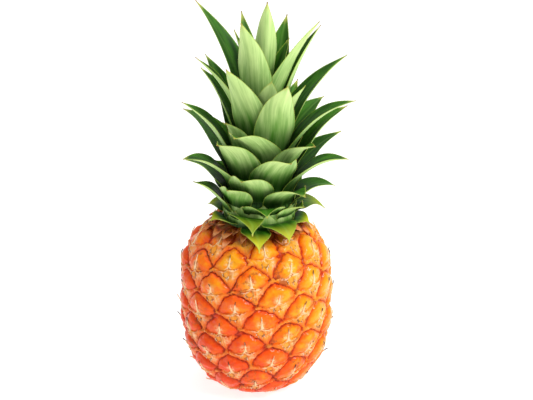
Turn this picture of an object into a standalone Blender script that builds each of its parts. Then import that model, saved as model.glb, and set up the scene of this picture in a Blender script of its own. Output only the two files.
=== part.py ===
"""A whole pineapple with its crown, standing on the flat spot at its base.

Metres, +Z up the axis, origin at the centre of the flat base, -Y is the front.
The fruit grew as one piece and is one solid. The cut end of its stalk, the
short stem inside the crown and every crown leaf are solids of their own.
"""
import math

import bmesh
import bpy
from mathutils import Vector

MM = 0.001
GAP = 0.3 * MM                      # left between solids that touch
GOLDEN_TURN = math.radians(137.508)  # turn from one eye or leaf to the next one up

# Fruit: a barrel with rounded ends, cut flat at the base and under the crown
FRUIT_RADIUS = 57.0 * MM            # between the eyes; the domes stand out further
BELLY_LOW, BELLY_HIGH = 66 * MM, 90 * MM
BASE_ROUNDING, TOP_ROUNDING = 71.5 * MM, 52 * MM
ROUNDING_POWER = 2.25
FRUIT_TOP = 138.0 * MM
FRUIT_RINGS = 34
FRUIT_SIDES = 72

# Eyes: the fruitlets, one after another along a rising spiral
EYE_AREA = 550.0 * MM * MM
FIRST_EYE_TURN = math.radians(175.7)
FIRST_EYE_AREA = 179.0 * MM * MM    # fruit surface below the lowest eye
EYE_HEIGHT = 3.2 * MM
EYE_REACH = 13.0 * MM
EYES_FADE = 12.0 * MM                # below this height the domes flatten towards the base

# Stalk end: the cut stalk, flush with the base
STALK_RADIUS = 13.0 * MM
STALK_DEPTH = 9.0 * MM

# Crown: it sits on the neck of the fruit and leans a little to the right
CROWN_LEAN = math.radians(2.3)
CROWN_SEAT = Vector((2.0 * MM, 0.0, FRUIT_TOP + 1.4 * MM))

# Crown stem: a rounded cone that the leaves grow from, heights above its seat
STEM_RADIUS = 27.0 * MM
STEM_TIP_RADIUS = 2.0 * MM
STEM_LENGTH = 91.0 * MM
STEM_SIDES, STEM_RINGS = 28, 9

# Crown leaves, numbered from the lowest and outermost to the heart
LEAVES = 57
FIRST_LEAF_TURN = math.radians(-6.0)
LEAF_ROOT_LOW, LEAF_ROOT_HIGH = 1.6 * MM, 85.0 * MM
LEAF_TIP_LOW, LEAF_TIP_HIGH = -10.0 * MM, 184.0 * MM
ROOTS_CLIMB, TIPS_CLIMB = 1.4, 1.14  # powers of the share of the way up to the heart
TIP_SPREAD, TIP_SPREAD_MORE = 42.0 * MM, 25.0 * MM  # from the axis: lowest leaf, and more midway
SPREAD_PEAK = 1.15                  # above 1, the widest leaves are higher up
HEART_CLOSING, HEART_POWER = 0.98, 7
ROOT_SLOPE_LOW, ROOT_SLOPE_MORE = math.radians(50), math.radians(40)
ROOT_DROOP, DROOP_RANGE = math.radians(32), (0.0, 0.16)     # the lowest leaves start flatter
LEAF_HALF_WIDTH, MIDWAY_WIDER, HEART_NARROWER = 16.0 * MM, 1.5 * MM, 3.0 * MM
LEAF_THICKNESS = 1.1 * MM
LEAF_ROWS, LEAF_COLUMNS = 8, 5
SPINE_STEPS = 28
BENDING_POWER = 0.85                 # above 1, a leaf bends more towards its tip
MOST_BEND = math.radians(240)

# Blade: half widths are also kept under a share of the radius, in radians round the crown
ROOT_CLASP, HEART_CLASP, WIDEST_CLASP = 0.78, 0.62, 0.95
HEART_FROM = 0.85
ROOT_SHARE, WIDEST_AT = 0.88, 0.35  # width at the root, and where along the leaf it is full
POINTING_POWER, TIP_SHARE = 1.6, 0.03
LOW_TAPER, HIGH_TAPER = 2.2, 1.1      # above 1, the blade runs out in a drawn-out point
TAPER_RANGE = (0.0, 0.45)           # shares of the way up the crown
CHANNEL_DEPTH, CHANNEL_POWER = 0.32, 1.6  # the blade folds into a channel towards its tip
CHANNEL_RANGE = (0.30, 0.85)        # shares of the length over which each change grows
CLASP_RANGE = (0.15, 0.60)
ASIDE_RANGE = (0.0, 0.80)

# How single leaves leave the spiral rule, as they grew:
# leaf number: (turn in degrees, tip further out in mm, tip higher in mm, width)
GROWN_ASIDE = {
    0: (7, 9, 2, 0.72), 1: (0, 0, 0, 0.82), 2: (-6, -3, 7, 0.95), 3: (-6, -5, 6, 0.85),
    4: (0, 0, 0, 0.85), 5: (4, -2, -6, 0.85), 6: (14, -9, 2, 1.0), 7: (-15, 1, -1, 1.0),
    8: (21, 1, -5, 0.85), 10: (-6, -11, 3, 1.0), 11: (0, -3, 11, 1.0), 13: (0, -5, -6, 1.0),
    15: (-3, -1, -4, 1.0), 16: (17, -9, 2, 1.0), 18: (-4, -3, -6, 1.05), 19: (0, -4, -5, 1.0),
    20: (-9, 5, 13, 0.9), 21: (0, -5, -3, 1.05), 23: (5, 3, -4, 1.0), 24: (-5, -3, -11, 1.0),
    25: (0, 2, 26, 0.8), 26: (1, -3, -4, 1.1), 27: (0, 4, 0, 1.0), 28: (0, 0, 10, 1.0),
    29: (3, -2, -4, 1.1), 31: (-9, -9, -14, 1.1), 32: (0, -5, 0, 1.0), 33: (-6, -4, -9, 1.0),
    34: (-16, 3, -13, 1.15), 35: (8, -5, 14, 0.9), 36: (4, 4, -9, 1.0), 37: (14, -22, -24, 0.9),
    39: (-13, -10, 4, 1.1), 40: (0, -12, -8, 1.0), 41: (-14, 2, 3, 1.0), 42: (-10, -6, 2, 1.1),
    43: (3, -12, 18, 0.85), 44: (-4, -22, -24, 0.8), 45: (-6, -3, -12, 0.85), 46: (10, -10, 6, 1.0),
    47: (-4, -12, -27, 0.8), 48: (10, 11, 10, 1.0), 49: (0, -6, -3, 0.9), 50: (15, -2, 3, 1.3),
    51: (0, 0, -16, 0.9), 52: (20, 6, -6, 0.95), 53: (0, -8, -24, 0.9), 54: (0, -4, -36, 0.9),
    55: (8, -1, -5, 1.15), 56: (0, 0, -30, 0.9),
}


def mix(a, b, t):
    """The value a share t of the way from a to b."""
    return a + (b - a) * t


def ease(a, b, x):
    """A smooth step from 0 at a to 1 at b."""
    t = min(max((x - a) / (b - a), 0.0), 1.0)
    return t * t * (3.0 - 2.0 * t)


# ---------------------------------------------------------------- scene setup

def clear_scene():
    for old in list(bpy.data.objects):
        bpy.data.objects.remove(old, do_unlink=True)


def make_collection(name):
    collection = bpy.data.collections.new(name)
    bpy.context.scene.collection.children.link(collection)
    return collection


def make_material(name, colour, roughness):
    material = bpy.data.materials.new(name)
    material.use_nodes = True
    shader = material.node_tree.nodes["Principled BSDF"]
    shader.inputs["Base Color"].default_value = (*colour, 1.0)
    shader.inputs["Roughness"].default_value = roughness
    shader.inputs["Metallic"].default_value = 0.0
    return material


def add_object(collection, name, mesh, material):
    part = bpy.data.objects.new(name, mesh)
    collection.objects.link(part)
    mesh.materials.clear()
    mesh.materials.append(material)
    return part


def evaluated_mesh(part):
    graph = bpy.context.evaluated_depsgraph_get()
    return bpy.data.meshes.new_from_object(part.evaluated_get(graph))


def turned_object(collection, name, profile, sides, material):
    """A profile of (radius, height) points, top to bottom, turned about Z."""
    bm = bmesh.new()
    points = [bm.verts.new((r, 0.0, z)) for r, z in profile]
    for a, b in zip(points, points[1:]):
        bm.edges.new((a, b))
    mesh = bpy.data.meshes.new(name)
    bm.to_mesh(mesh)
    bm.free()
    turned = add_object(collection, name, mesh, material)
    screw = turned.modifiers.new("Turned", "SCREW")
    screw.axis = "Z"
    screw.steps = screw.render_steps = sides
    screw.use_merge_vertices = True
    screw.merge_threshold = 0.00001
    return turned


# ---------------------------------------------------------------------- fruit

def fruit_radius(z):
    """Radius of the fruit's skin, between the eyes, at height z."""
    if z < BELLY_LOW:
        depth = (BELLY_LOW - z) / BASE_ROUNDING
    elif z > BELLY_HIGH:
        depth = (z - BELLY_HIGH) / TOP_ROUNDING
    else:
        depth = 0.0
    return FRUIT_RADIUS * (1.0 - depth ** ROUNDING_POWER) ** (1.0 / ROUNDING_POWER)


def fruit_outline():
    """Skin heights spaced evenly along the outline, with the area below each."""
    steps = 600
    heights = [FRUIT_TOP * i / steps for i in range(steps + 1)]
    lengths, areas = [0.0], [0.0]
    for low, high in zip(heights, heights[1:]):
        r_low, r_high = fruit_radius(low), fruit_radius(high)
        run = math.hypot(high - low, r_high - r_low)
        lengths.append(lengths[-1] + run)
        areas.append(areas[-1] + math.pi * (r_low + r_high) * run)
    return heights, lengths, areas


def look_up(x, xs, ys):
    """The value of the rising table xs, ys at x, straight between its points."""
    low, high = 0, len(xs) - 1
    while high - low > 1:
        middle = (low + high) // 2
        if xs[middle] <= x:
            low = middle
        else:
            high = middle
    return mix(ys[low], ys[high], (x - xs[low]) / (xs[high] - xs[low]))


def eye_centres():
    """Centres of all the eyes, one EYE_AREA of skin after another."""
    heights, _, areas = fruit_outline()
    centres = []
    number = 0
    while FIRST_EYE_AREA + number * EYE_AREA < areas[-1]:
        z = look_up(FIRST_EYE_AREA + number * EYE_AREA, areas, heights)
        turn = FIRST_EYE_TURN - GOLDEN_TURN * number
        r = fruit_radius(z)
        centres.append(Vector((r * math.sin(turn), -r * math.cos(turn), z)))
        number += 1
    return centres


def build_fruit(collection, material):
    """A turned barrel with a recess for the stalk, then domed at each eye."""
    heights, lengths, _ = fruit_outline()
    recess_radius = STALK_RADIUS + GAP
    recess_top = STALK_DEPTH + GAP
    profile = [(0.0, FRUIT_TOP), (0.45 * fruit_radius(FRUIT_TOP), FRUIT_TOP)]
    for ring in range(FRUIT_RINGS, -1, -1):
        z = look_up(lengths[-1] * ring / FRUIT_RINGS, lengths, heights)
        profile.append((fruit_radius(z), z))
    profile += [(recess_radius, 0.0), (recess_radius, recess_top), (0.0, recess_top)]
    turning = turned_object(collection, "fruit_turning", profile, FRUIT_SIDES, material)
    body = evaluated_mesh(turning)
    bpy.data.objects.remove(turning, do_unlink=True)

    centres = eye_centres()
    for vertex in body.vertices:
        spot = vertex.co
        on_skin = math.hypot(spot.x, spot.y) > recess_radius + GAP
        if not on_skin or spot.z < GAP or spot.z > FRUIT_TOP - GAP:
            continue
        nearest = min((spot - centre).length for centre in centres)
        height = EYE_HEIGHT * max(0.0, 1.0 - (nearest / EYE_REACH) ** 2)
        height *= ease(0.0, EYES_FADE, spot.z)
        outward = Vector((spot.x, spot.y, 0.0)).normalized()
        vertex.co = spot + outward * height
    fruit = add_object(collection, "fruit_body", body, material)
    body.shade_smooth()
    body.set_sharp_from_angle(angle=math.radians(60))
    return fruit


def build_stalk_end(collection, material):
    bm = bmesh.new()
    bmesh.ops.create_cone(bm, cap_ends=True, segments=40, radius1=STALK_RADIUS,
                          radius2=STALK_RADIUS, depth=STALK_DEPTH)
    bmesh.ops.translate(bm, verts=bm.verts, vec=(0.0, 0.0, STALK_DEPTH / 2.0))
    mesh = bpy.data.meshes.new("stalk_end")
    bm.to_mesh(mesh)
    bm.free()
    return add_object(collection, "stalk_end", mesh, material)


# ---------------------------------------------------------------------- crown

def stem_radius(height):
    """Radius of the crown stem at a height above its seat."""
    share = min(max(height / STEM_LENGTH, 0.0), 1.0)
    return mix(STEM_TIP_RADIUS, STEM_RADIUS, (1.0 - share ** 1.5) ** 0.8)


def build_stem(collection, seat, material):
    heights = [STEM_LENGTH * ring / STEM_RINGS for ring in range(STEM_RINGS, -1, -1)]
    profile = [(0.0, STEM_LENGTH)] + [(stem_radius(h), h) for h in heights] + [(0.0, 0.0)]
    stem = turned_object(collection, "crown_stem", profile, STEM_SIDES, material)
    stem.parent = seat
    return stem


class Leaf:
    """One crown leaf: a bent spine from the stem to its tip, with a width along it."""

    def __init__(self, number):
        t = number / (LEAVES - 1)
        turn, reach, rise, width = GROWN_ASIDE.get(number, (0, 0, 0, 1.0))
        self.turn = FIRST_LEAF_TURN - GOLDEN_TURN * number
        self.turn_aside = math.radians(turn)
        root_z = mix(LEAF_ROOT_LOW, LEAF_ROOT_HIGH, t ** ROOTS_CLIMB)
        root_r = stem_radius(root_z) + LEAF_THICKNESS
        spread = TIP_SPREAD + TIP_SPREAD_MORE * math.sin(math.pi * t / SPREAD_PEAK)
        tip_r = spread * math.sqrt(1.0 - HEART_CLOSING * t ** HEART_POWER) + reach * MM
        tip_z = mix(LEAF_TIP_LOW, LEAF_TIP_HIGH, t ** TIPS_CLIMB) + rise * MM
        self.start = ROOT_SLOPE_LOW + ROOT_SLOPE_MORE * math.sqrt(t)
        self.start -= ROOT_DROOP * (1.0 - ease(*DROOP_RANGE, t))
        full_width = LEAF_HALF_WIDTH + MIDWAY_WIDER * math.sin(math.pi * t)
        self.half_width = (full_width - HEART_NARROWER * t ** 4) * width
        self.root_clasp = ROOT_CLASP if t < HEART_FROM else HEART_CLASP
        self.taper = mix(LOW_TAPER, HIGH_TAPER, ease(*TAPER_RANGE, t))
        self.spine = self.bent_spine(root_r, root_z, tip_r, tip_z)

    def bent_spine(self, root_r, root_z, tip_r, tip_z):
        """Points (r, z, slope) of a line that leaves the root at the start slope,
        bends over more and more, and ends at the tip."""
        aim = math.atan2(tip_z - root_z, tip_r - root_r)
        low, high = 0.0, MOST_BEND
        while high - low > 0.0001:
            bend = (low + high) / 2.0
            line = self.unit_line(bend)
            if math.atan2(line[-1][1], line[-1][0]) > aim:
                low = bend
            else:
                high = bend
        length = math.hypot(tip_r - root_r, tip_z - root_z) / math.hypot(*line[-1][:2])
        return [(root_r + x * length, root_z + y * length, slope) for x, y, slope in line]

    def unit_line(self, bend):
        line = [(0.0, 0.0, self.start)]
        for step in range(1, SPINE_STEPS + 1):
            slope = self.start - bend * ((step - 0.5) / SPINE_STEPS) ** BENDING_POWER
            x = line[-1][0] + math.cos(slope) / SPINE_STEPS
            y = line[-1][1] + math.sin(slope) / SPINE_STEPS
            line.append((x, y, self.start - bend * (step / SPINE_STEPS) ** BENDING_POWER))
        return line

    def spine_at(self, s):
        """Radius, height and slope of the leaf's middle line, s from root to tip."""
        place = min(s * SPINE_STEPS, SPINE_STEPS - 0.001)
        step = int(place)
        below, above = self.spine[step], self.spine[step + 1]
        return [mix(a, b, place - step) for a, b in zip(below, above)]

    def width_at(self, s):
        """Half the leaf's width: widest a third of the way up, pointed at the tip."""
        if s < WIDEST_AT:
            share = mix(ROOT_SHARE, 1.0, ease(0.0, WIDEST_AT, s))
        else:
            past = (s - WIDEST_AT) / (1.0 - WIDEST_AT)
            share = (1.0 - past ** POINTING_POWER) ** self.taper
        return self.half_width * max(share, TIP_SHARE)

    def point(self, s, across):
        """A point of the blade; across runs from -1 to 1 over its width."""
        r, z, slope = self.spine_at(s)
        clasp = mix(self.root_clasp, WIDEST_CLASP, ease(*CLASP_RANGE, s))
        half = min(self.width_at(s), clasp * r)
        fold = CHANNEL_DEPTH * ease(*CHANNEL_RANGE, s) * half * abs(across) ** CHANNEL_POWER
        r_in, z_in = r - fold * math.sin(slope), z + fold * math.cos(slope)
        turn = self.turn + self.turn_aside * ease(*ASIDE_RANGE, s) + across * half / r
        return Vector((r_in * math.sin(turn), -r_in * math.cos(turn), z_in))


def build_leaf(collection, seat, number, material):
    """The blade as an open sheet, thickened."""
    leaf = Leaf(number)
    bm = bmesh.new()
    rows = []
    for row in range(LEAF_ROWS):
        s = row / (LEAF_ROWS - 1)
        columns = range(LEAF_COLUMNS)
        rows.append([bm.verts.new(leaf.point(s, mix(-1.0, 1.0, c / (LEAF_COLUMNS - 1)))) for c in columns])
    for low, high in zip(rows, rows[1:]):
        for c in range(LEAF_COLUMNS - 1):
            bm.faces.new((low[c], low[c + 1], high[c + 1], high[c]))
    name = f"leaf_{number + 1:02d}"
    mesh = bpy.data.meshes.new(name)
    bm.to_mesh(mesh)
    bm.free()
    mesh.shade_smooth()
    blade = add_object(collection, name, mesh, material)
    blade.parent = seat
    wall = blade.modifiers.new("Blade thickness", "SOLIDIFY")
    wall.thickness = LEAF_THICKNESS
    wall.offset = 0.0
    return blade


def main():
    clear_scene()
    pineapple = make_collection("pineapple")
    skin = make_material("fruit_skin", (0.80, 0.24, 0.03), 0.40)
    cut_stalk = make_material("cut_stalk", (0.55, 0.38, 0.18), 0.80)
    stem = make_material("crown_stem", (0.14, 0.28, 0.06), 0.70)
    leaf_green = make_material("crown_leaf", (0.20, 0.42, 0.09), 0.55)
    build_fruit(pineapple, skin)
    build_stalk_end(pineapple, cut_stalk)
    seat = bpy.data.objects.new("crown_seat", None)
    seat.location = CROWN_SEAT
    seat.rotation_euler = (0.0, CROWN_LEAN, 0.0)
    pineapple.objects.link(seat)
    build_stem(pineapple, seat, stem)
    for number in range(LEAVES):
        build_leaf(pineapple, seat, number, leaf_green)


main()
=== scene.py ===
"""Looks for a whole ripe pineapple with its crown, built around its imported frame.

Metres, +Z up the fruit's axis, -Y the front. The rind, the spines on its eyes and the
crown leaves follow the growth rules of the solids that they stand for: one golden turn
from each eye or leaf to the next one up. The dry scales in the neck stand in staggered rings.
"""
import math
from functools import partial
from types import SimpleNamespace

import bmesh
import bpy
import numpy as np
from bpy.props import FloatProperty, FloatVectorProperty, IntProperty, PointerProperty
from mathutils import Euler, Matrix, Vector


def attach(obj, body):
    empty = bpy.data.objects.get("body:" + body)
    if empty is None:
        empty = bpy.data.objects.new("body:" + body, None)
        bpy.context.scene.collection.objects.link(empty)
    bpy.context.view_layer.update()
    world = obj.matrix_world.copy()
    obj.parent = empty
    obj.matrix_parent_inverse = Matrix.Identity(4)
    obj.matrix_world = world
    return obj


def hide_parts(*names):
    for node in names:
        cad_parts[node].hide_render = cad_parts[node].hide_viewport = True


bl_info = {
    "name": "Pineapple",
    "version": (1, 0, 0),
    "blender": (4, 5, 0),
    "location": "View3D > Sidebar > Pineapple",
    "description": "Rind, spines, crown and stage of a whole pineapple",
    "category": "Object",
}

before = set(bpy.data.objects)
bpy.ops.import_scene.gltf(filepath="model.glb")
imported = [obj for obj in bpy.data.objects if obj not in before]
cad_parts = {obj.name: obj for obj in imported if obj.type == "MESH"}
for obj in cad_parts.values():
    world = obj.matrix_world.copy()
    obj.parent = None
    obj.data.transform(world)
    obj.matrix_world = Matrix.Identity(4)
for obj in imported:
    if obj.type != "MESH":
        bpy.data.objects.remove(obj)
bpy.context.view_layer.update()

MM = 0.001
FULL_TURN = 2.0 * math.pi
GOLDEN_TURN = math.radians(137.508)  # from one eye or leaf to the next one up
WAVES = 7  # added up in each ripple

# Fruit outline between the eyes, as in the solid
FRUIT_RADIUS = 57.0 * MM
BELLY_LOW, BELLY_HIGH = 66 * MM, 90 * MM
BASE_ROUNDING, TOP_ROUNDING = 71.5 * MM, 52 * MM
ROUNDING_POWER = 2.25
FRUIT_TOP = 138.0 * MM
STALK_RADIUS, STALK_DEPTH = 13.0 * MM, 9.0 * MM
GAP = 0.3 * MM

# Eyes: a spiral of junctions, each where a spine leaves the rind below its dome
EYE_AREA = 550.0 * MM * MM
FIRST_EYE_TURN = math.radians(210.0)
FIRST_EYE_AREA = 411.0 * MM * MM
EYES = 90

# Crown: seat and lean, then the rule for stem and leaves, as in the solids
CROWN_LEAN = math.radians(2.3)
CROWN_SEAT = Vector((2.0 * MM, 0.0, FRUIT_TOP + 1.4 * MM))
STEM_RADIUS, STEM_TIP_RADIUS, STEM_LENGTH = 27.0 * MM, 2.0 * MM, 91.0 * MM
LEAVES = 57
FIRST_LEAF_TURN = math.radians(-6.0)
LEAF_ROOT_LOW, LEAF_ROOT_HIGH = 1.6 * MM, 85.0 * MM
LEAF_TIP_LOW, LEAF_TIP_HIGH = -10.0 * MM, 184.0 * MM
ROOTS_CLIMB, TIPS_CLIMB = 1.4, 1.14
TIP_SPREAD, TIP_SPREAD_MORE, SPREAD_PEAK = 42.0 * MM, 25.0 * MM, 1.15
HEART_CLOSING, HEART_POWER = 0.98, 7
ROOT_SLOPE_LOW, ROOT_SLOPE_MORE = math.radians(50), math.radians(40)
ROOT_DROOP, DROOP_RANGE = math.radians(32), (0.0, 0.16)
LEAF_HALF_WIDTH, MIDWAY_WIDER, HEART_NARROWER = 16.0 * MM, 1.5 * MM, 3.0 * MM
LEAF_THICKNESS = 1.1 * MM
SPINE_STEPS = 28
BENDING_POWER = 0.85
MOST_BEND = math.radians(240)
ROOT_CLASP, HEART_CLASP, WIDEST_CLASP = 0.78, 0.62, 0.95
HEART_FROM = 0.85
ROOT_SHARE, WIDEST_AT = 0.88, 0.35
POINTING_POWER, TIP_SHARE = 1.6, 0.03
LOW_TAPER, HIGH_TAPER, TAPER_RANGE = 2.2, 1.1, (0.0, 0.45)
CHANNEL_DEPTH, CHANNEL_POWER = 0.32, 1.6
CHANNEL_RANGE, CLASP_RANGE, ASIDE_RANGE = (0.30, 0.85), (0.15, 0.60), (0.0, 0.80)

# leaf number: (turn in degrees, tip further out in mm, tip higher in mm, width)
GROWN_ASIDE = {
    0: (7, 9, 2, 0.72), 1: (0, 0, 0, 0.82), 2: (-6, -3, 7, 0.95), 3: (-6, -5, 6, 0.85),
    4: (0, 0, 0, 0.85), 5: (4, -2, -6, 0.85), 6: (14, -9, 2, 1.0), 7: (-15, 1, -1, 1.0),
    8: (21, 1, -5, 0.85), 10: (-6, -11, 3, 1.0), 11: (0, -3, 11, 1.0), 13: (0, -5, -6, 1.0),
    15: (-3, -1, -4, 1.0), 16: (17, -9, 2, 1.0), 18: (-4, -3, -6, 1.05), 19: (0, -4, -5, 1.0),
    20: (-9, 5, 13, 0.9), 21: (0, -5, -3, 1.05), 23: (5, 3, -4, 1.0), 24: (-5, -3, -11, 1.0),
    25: (0, 2, 26, 0.8), 26: (1, -3, -4, 1.1), 27: (0, 4, 0, 1.0), 28: (0, 0, 10, 1.0),
    29: (3, -2, -4, 1.1), 31: (-9, -9, -14, 1.1), 32: (0, -5, 0, 1.0), 33: (-6, -4, -9, 1.0),
    34: (-16, 3, -13, 1.15), 35: (8, -5, 14, 0.9), 36: (4, 4, -9, 1.0), 37: (14, -22, -24, 0.9),
    39: (-13, -10, 4, 1.1), 40: (0, -12, -8, 1.0), 41: (-14, 2, 3, 1.0), 42: (-10, -6, 2, 1.1),
    43: (3, -12, 18, 0.85), 44: (-4, -22, -24, 0.8), 45: (-6, -3, -12, 0.85), 46: (10, -10, 6, 1.0),
    47: (-4, -12, -27, 0.8), 48: (10, 11, 10, 1.0), 49: (0, -6, -3, 0.9), 50: (15, -2, 3, 1.3),
    51: (0, 0, -16, 0.9), 52: (20, 6, -6, 0.95), 53: (0, -8, -24, 0.9), 54: (0, -4, -36, 0.9),
    55: (8, -1, -5, 1.15), 56: (0, 0, -30, 0.9),
}


def mix(a, b, t):
    return a + (b - a) * t


def ease(a, b, x):
    """A smooth step from 0 at a to 1 at b, for numbers and arrays."""
    t = np.clip((x - a) / (b - a), 0.0, 1.0)
    return t * t * (3.0 - 2.0 * t)


def hex_colour(code):
    """An sRGB hex colour as linear RGBA."""
    channels = [int(code[i:i + 2], 16) / 255.0 for i in (1, 3, 5)]
    return (*[c / 12.92 if c <= 0.04045 else ((c + 0.055) / 1.055) ** 2.4 for c in channels], 1.0)


def ripple(points, size, seed):
    """Smooth waves of about the given size at an array of points, from -1 to 1."""
    draw = np.random.default_rng(seed)
    total = np.zeros(points.shape[:-1])
    for _ in range(WAVES):
        way = draw.normal(size=points.shape[-1])
        way *= draw.uniform(0.6, 1.5) / (np.linalg.norm(way) * size)
        total += np.sin(points @ way * FULL_TURN + draw.uniform(0.0, FULL_TURN))
    return total / WAVES * 2.0


# ------------------------------------------------------------------- settings

def length(name, description, default):
    return FloatProperty(name=name, description=description, default=default, unit="LENGTH")


def paint(name, description, code):
    return FloatVectorProperty(name=name, description=description, subtype="COLOR", size=4,
                               default=hex_colour(code), min=0.0, max=1.0)


class RindSettings(bpy.types.PropertyGroup):
    rows: IntProperty(name="Rows", description="Rows of faces from base to neck", default=212)
    sides: IntProperty(name="Sides", description="Faces round the fruit", default=444)
    dome_height: length("Dome height", "How far an eye's dome stands above its grooves", 4.4 * MM)
    bract_height: length("Bract height", "How far a bract stands above the grooves", 3.3 * MM)
    lip_height: length("Lip height", "How far a bract's lip stands over its dome", 0.8 * MM)
    groove_depth: length("Groove depth", "How far the grooves lie below the fruit's outline", 1.2 * MM)
    groove_width: length("Groove width", "Half width of the dark line round an eye", 0.5 * MM)
    # Yellow to red on the rind is partly ripeness and partly painted light: yellow where the key light falls,
    # red low down and on the left as painted shade
    yellow: paint("Yellow rind", "Ripest, best lit domes", "#ffae10")
    orange: paint("Orange rind", "Most of the domes", "#ff7204")
    red: paint("Red rind", "Domes low on the fruit and beside the grooves", "#f24808")
    groove: paint("Groove", "The line between the eyes", "#bc2602")
    cream: paint("Cream", "Dry lips and spines", "#ffdeb4")
    brown: paint("Brown", "Scars and dead tips", "#6b3415")


class CrownSettings(bpy.types.PropertyGroup):
    rows: IntProperty(name="Rows", description="Rows of faces along a leaf", default=52)
    tooth_gap: length("Tooth spacing", "Distance between two teeth on a leaf's margin", 2.6 * MM)
    tooth_length: length("Tooth length", "Length of a marginal tooth", 0.6 * MM)
    bloom: paint("Bloom", "Pale wax on the outer faces", "#dcf8a0")
    outer: paint("Outer face", "Outer faces under the wax", "#4c961c")
    # Painted shade: each leaf darkens to this green towards its base, where the leaves overlap
    shade: paint("Leaf base", "Dark green towards the base", "#0a3402")
    inner: paint("Inner face", "Inner faces, towards the heart", "#1a4606")
    margin: paint("Margin", "Thin line along a leaf's edge", "#b4cc50")
    dry: paint("Dry tip", "Dead leaf tips", "#a8733a")


class StageSettings(bpy.types.PropertyGroup):
    distance: length("Camera distance", "From the camera to the middle of the fruit", 1.139)
    elevation: FloatProperty(name="Elevation", description="Camera's angle above the horizon",
                             default=math.radians(22.0), subtype="ANGLE")
    lens: FloatProperty(name="Lens", description="Focal length", default=100.0, unit="CAMERA")
    key_power: FloatProperty(name="Key light", description="Power of the main light", default=9.0,
                             unit="POWER")


# ------------------------------------------------------------- shared builders

def mesh_object(name, points, faces=(), values=None, vectors=None, edges=()):
    """A smooth-shaded object from points and faces, with named floats and vectors at its points."""
    mesh = bpy.data.meshes.new(name)
    mesh.from_pydata([tuple(p) for p in points], edges, [tuple(int(i) for i in f) for f in faces])
    for kind, field, named in (("FLOAT", "value", values), ("FLOAT_VECTOR", "vector", vectors)):
        for key, array in (named or {}).items():
            attribute = mesh.attributes.new(key, kind, "POINT")
            attribute.data.foreach_set(field, np.array(array, np.float32).ravel())
    mesh.update()
    mesh.shade_smooth()
    return placed(name, mesh)


def placed(name, data):
    """A new object in the scene."""
    thing = bpy.data.objects.new(name, data)
    bpy.context.scene.collection.objects.link(thing)
    return thing


def grid_faces(rows, columns, closed=False):
    """Quads of a grid whose points run row by row; closed joins the last column to the first."""
    i, j = np.meshgrid(np.arange(rows - 1), np.arange(columns if closed else columns - 1), indexing="ij")
    right = (j + 1) % columns
    corners = (i * columns + j, i * columns + right, (i + 1) * columns + right, (i + 1) * columns + j)
    return np.stack([c.ravel() for c in corners], axis=1)


def sheet_faces(rows, columns):
    """Faces of a closed sheet: an outer grid, the inner grid behind it and the rim between them."""
    size = rows * columns
    outer = grid_faces(rows, columns)
    left, low = np.arange(rows) * columns, np.arange(columns)
    right, high = left + columns - 1, low + size - columns
    rim = []
    for line, flip in ((left, False), (right, True), (low, True), (high, False)):
        for a, b in zip(line, line[1:]):
            quad = (a, b, b + size, a + size)
            rim.append(quad if flip else quad[::-1])
    return np.concatenate([outer, outer[:, ::-1] + size, np.array(rim)])


def ring_points(radius, turn, height):
    """Points at the given turns round the axis; radius and height may change from one to the next."""
    return np.stack(np.broadcast_arrays(radius * np.sin(turn), -radius * np.cos(turn), height), axis=-1)


def wave_places(radius, turn, height):
    """The same points in millimetres, a quarter turn round, for the ripples."""
    return np.stack(np.broadcast_arrays(radius * np.cos(turn), radius * np.sin(turn), height), axis=-1) / MM


def turns(count):
    """Even turns round the axis."""
    return np.arange(count) * FULL_TURN / count


def joined(groups):
    """Named arrays of several parts, end to end."""
    return {key: np.concatenate([group[key] for group in groups]) for key in groups[0]}


def hand_over(piece, slot, *nodes, material=None):
    """Finishes the piece, rides it on the part and hides the parts that it stands for."""
    if material:
        piece.data.materials.append(material)
    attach(piece, "root")
    if nodes:
        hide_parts(*nodes)


# ------------------------------------------------------------------ node trees

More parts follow.
